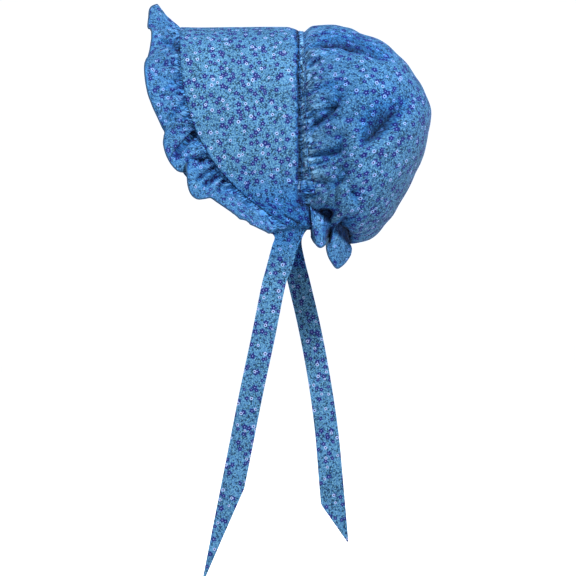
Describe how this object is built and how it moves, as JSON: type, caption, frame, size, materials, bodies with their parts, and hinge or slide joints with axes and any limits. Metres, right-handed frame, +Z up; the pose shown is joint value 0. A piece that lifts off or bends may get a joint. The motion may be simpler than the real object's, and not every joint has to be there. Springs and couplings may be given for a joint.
{
  "type": "prairie bonnet",
  "caption": "Printed cotton bonnet with a stiffened hooding brim, a ruffled brim edge, a puffed gathered crown, a neck ruffle and two hanging ties.",
  "frame": {"origin": "where the bonnet rests on the top of the head: the underside of the seam between brim and crown, in the middle", "axes": "+X to the wearer's left, +Y to the back of the head, +Z up"},
  "size_m": [0.217, 0.3414, 0.683],
  "materials": {
    "printed_cotton": "matte"
  },
  "bodies": {
    "root": {"brim": "printed_cotton", "brim_ruffle": "printed_cotton", "crown": "printed_cotton", "crown_casing": "printed_cotton", "tie_left": "printed_cotton", "tie_right": "printed_cotton"}
  },
  "joints": []
}
